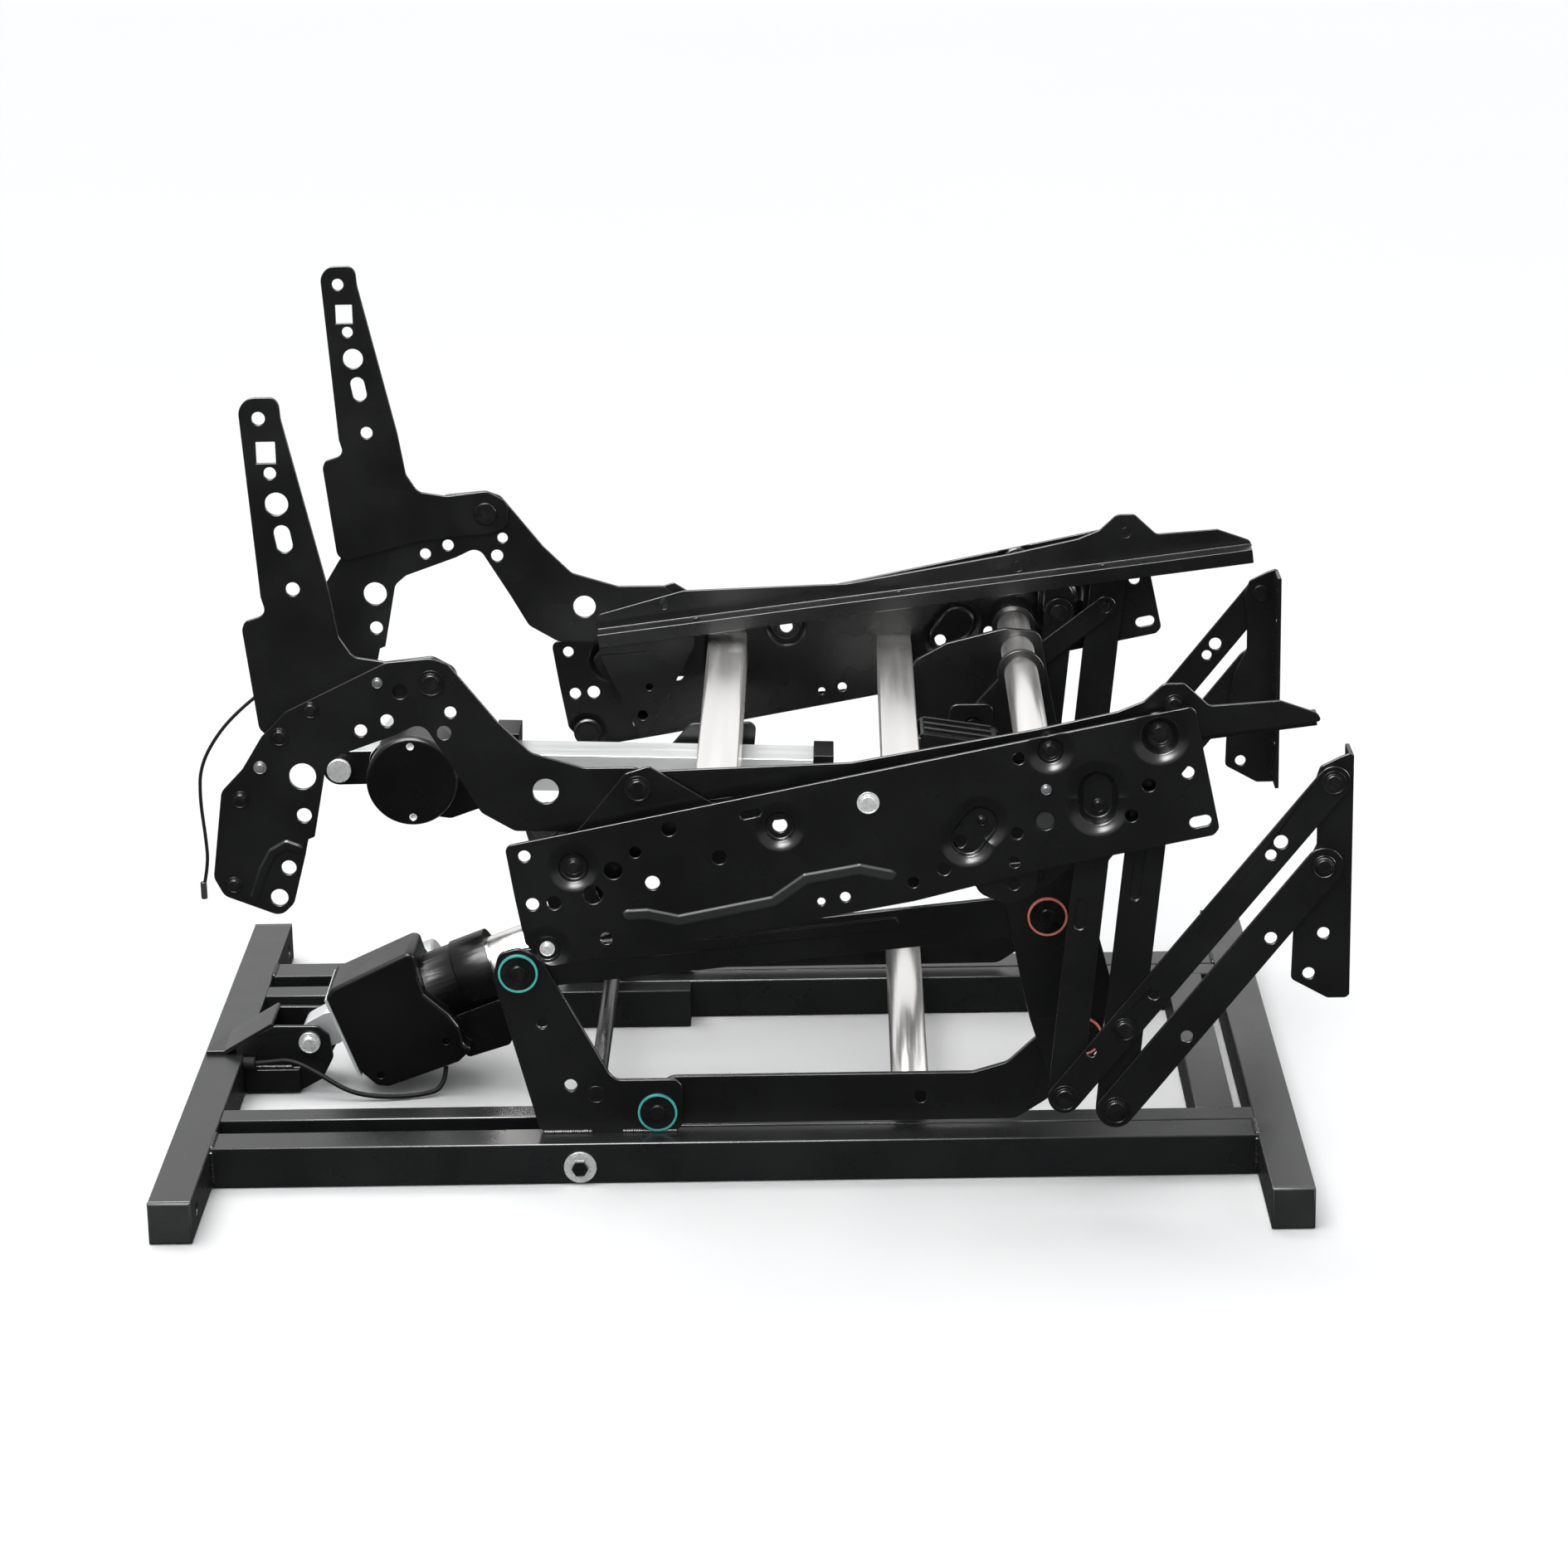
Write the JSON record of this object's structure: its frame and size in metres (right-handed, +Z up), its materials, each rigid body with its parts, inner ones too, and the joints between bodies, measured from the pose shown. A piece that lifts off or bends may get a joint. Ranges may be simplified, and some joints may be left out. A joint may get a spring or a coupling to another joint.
{
  "type": "recliner lift mechanism",
  "caption": "Steel lift-and-recline chair mechanism with floor base, motor-driven lift links, seat frame, folding footrest linkage and back brackets.",
  "frame": {"origin": "bottom centre of the bounding box, on the floor", "axes": "+X forward, towards the footrest; +Y across the chair, to its left side; +Z up"},
  "size_m": [0.825, 0.594, 0.5793],
  "materials": {
    "black_steel": "satin",
    "black_rivet": "satin",
    "bright_tube": "brushed",
    "bright_bolt": "polished",
    "teal_bush": "satin",
    "copper_bush": "satin",
    "black_plastic": "gloss",
    "cap_plastic": "matte",
    "grey_cast": "satin",
    "grey_channel": "satin",
    "rubber": "matte"
  },
  "bodies": {
    "base": {"rear_cross_tube": "black_steel", "front_cross_tube": "black_steel", "tube_end_caps": "cap_plastic", "side_rails": "black_steel", "inner_rails": "black_steel", "inner_cross_tube": "black_steel", "pedestals": "black_steel", "pedestal_tie_rod": "black_steel", "pedestal_pins": "black_rivet", "pedestal_rings": "teal_bush", "actuator_clevis": "black_steel", "clevis_bolt": "bright_bolt", "rail_bolts": "bright_bolt", "cable_grommet": "rubber", "motor_cable": "rubber"},
    "upper_arms": {"upper_links": "black_steel"},
    "lower_arms": {"lower_links": "black_steel", "lift_cross_tube": "bright_tube"},
    "seat_frame": {"risers": "black_steel", "riser_pins": "black_rivet", "riser_rings": "copper_bush", "rear_seat_tube": "bright_tube", "centre_seat_tube": "bright_tube", "side_plate_right": "black_steel", "side_plate_left": "black_steel", "seat_rail_right": "black_steel", "seat_rail_left": "black_steel", "rear_arm_right": "black_steel", "rear_arm_left": "black_steel", "rail_tabs": "black_steel", "rail_gussets": "black_steel", "frame_spacers": "black_steel", "frame_rivets": "black_rivet", "push_bracket": "black_steel", "recline_rail": "grey_channel", "recline_blocks": "black_plastic", "recline_motor": "black_plastic", "recline_gearbox": "grey_cast", "recline_hanger": "black_steel", "hand_cable": "rubber", "cable_plug": "cap_plastic"},
    "back": {"back_bracket_right": "black_steel", "back_bracket_left": "black_steel"},
    "lift_actuator": {"lift_housing": "black_plastic", "lift_end_plate": "grey_cast", "lift_motor": "grey_cast", "lift_tube": "bright_tube"},
    "lift_rod": {"lift_rod": "bright_tube"},
    "torque_tube": {"torque_tube": "bright_tube", "crank_arms": "black_steel"},
    "drive_links": {"drive_links": "black_steel"},
    "rear_legs": {"rear_leg_links": "black_steel"},
    "front_legs": {"front_leg_links": "black_steel", "front_leg_rivets": "black_rivet"},
    "upper_feet": {"upper_foot_links": "black_steel", "upper_foot_rivets": "black_rivet"},
    "lower_feet": {"lower_foot_links": "black_steel"},
    "foot_board": {"foot_brackets": "black_steel"},
    "recline_slide": {"recline_slider": "black_steel", "recline_push_arm": "black_steel"}
  },
  "joints": [
    {"name": "lift", "type": "hinge", "parent": "base", "child": "upper_arms", "pos_m": [-0.1615, 0, 0.1507], "axis": [0, -1, 0], "range_deg": [0, 28]},
    {"name": "lower_arm", "type": "hinge", "parent": "base", "child": "lower_arms", "pos_m": [-0.0662, 0, 0.0448], "axis": [0, -1, 0], "range_deg": [0, 35.8]},
    {"name": "seat_tilt", "type": "hinge", "parent": "upper_arms", "child": "seat_frame", "pos_m": [0.2103, 0, 0.1871], "axis": [0, -1, 0], "range_deg": [-43.8, 0]},
    {"name": "actuator_swing", "type": "hinge", "parent": "base", "child": "lift_actuator", "pos_m": [-0.3329, 0.016, 0.0392], "axis": [0, -1, 0], "range_deg": [0, 21.3]},
    {"name": "actuator_stroke", "type": "slide", "parent": "lift_actuator", "child": "lift_rod", "axis": [0.9357, 0, 0.3528], "range_m": [0, 0.0572]},
    {"name": "back_recline", "type": "hinge", "parent": "seat_frame", "child": "back", "pos_m": [-0.2066, 0, 0.3834], "axis": [0, -1, 0], "range_deg": [0, 35]},
    {"name": "footrest", "type": "hinge", "parent": "seat_frame", "child": "front_legs", "pos_m": [0.2815, 0, 0.3434], "axis": [0, -1, 0], "range_deg": [0, 85]},
    {"name": "rear_leg", "type": "hinge", "parent": "seat_frame", "child": "rear_legs", "pos_m": [0.2408, 0, 0.2936], "axis": [0, -1, 0], "range_deg": [0, 85]},
    {"name": "upper_foot", "type": "hinge", "parent": "front_legs", "child": "upper_feet", "pos_m": [0.2587, 0, 0.1328], "axis": [0, -1, 0], "range_deg": [-85, 0]},
    {"name": "board", "type": "hinge", "parent": "upper_feet", "child": "foot_board", "pos_m": [0.3989, 0, 0.3069], "axis": [0, -1, 0], "range_deg": [0, 85]},
    {"name": "lower_foot", "type": "hinge", "parent": "front_legs", "child": "lower_feet", "pos_m": [0.2532, 0, 0.0736], "axis": [0, -1, 0], "range_deg": [-85, 0]},
    {"name": "torque", "type": "hinge", "parent": "seat_frame", "child": "torque_tube", "pos_m": [0.2045, 0, 0.285], "axis": [0, -1, 0], "range_deg": [0, 85]},
    {"name": "drive", "type": "hinge", "parent": "torque_tube", "child": "drive_links", "pos_m": [0.19966, 0, 0.24026], "axis": [0, -1, 0], "range_deg": [-85, 0]},
    {"name": "recline_stroke", "type": "slide", "parent": "seat_frame", "child": "recline_slide", "axis": [0.9994, 0, -0.0349], "range_m": [0, 0.0745]}
  ],
  "couplings": [
    {"joint": "lower_arm", "follows": "lift", "ratio": 1.2619},
    {"joint": "seat_tilt", "follows": "lift", "ratio": -1.5453},
    {"joint": "actuator_swing", "follows": "lift", "ratio": 0.7423},
    {"joint": "actuator_stroke", "follows": "lift", "m_per_rad": 0.1151},
    {"joint": "rear_leg", "follows": "footrest", "ratio": 1},
    {"joint": "upper_foot", "follows": "footrest", "ratio": -1},
    {"joint": "board", "follows": "footrest", "ratio": 1},
    {"joint": "lower_foot", "follows": "footrest", "ratio": -1},
    {"joint": "torque", "follows": "footrest", "ratio": 1},
    {"joint": "drive", "follows": "footrest", "ratio": -1},
    {"joint": "recline_stroke", "follows": "footrest", "m_per_rad": 0.05}
  ]
}
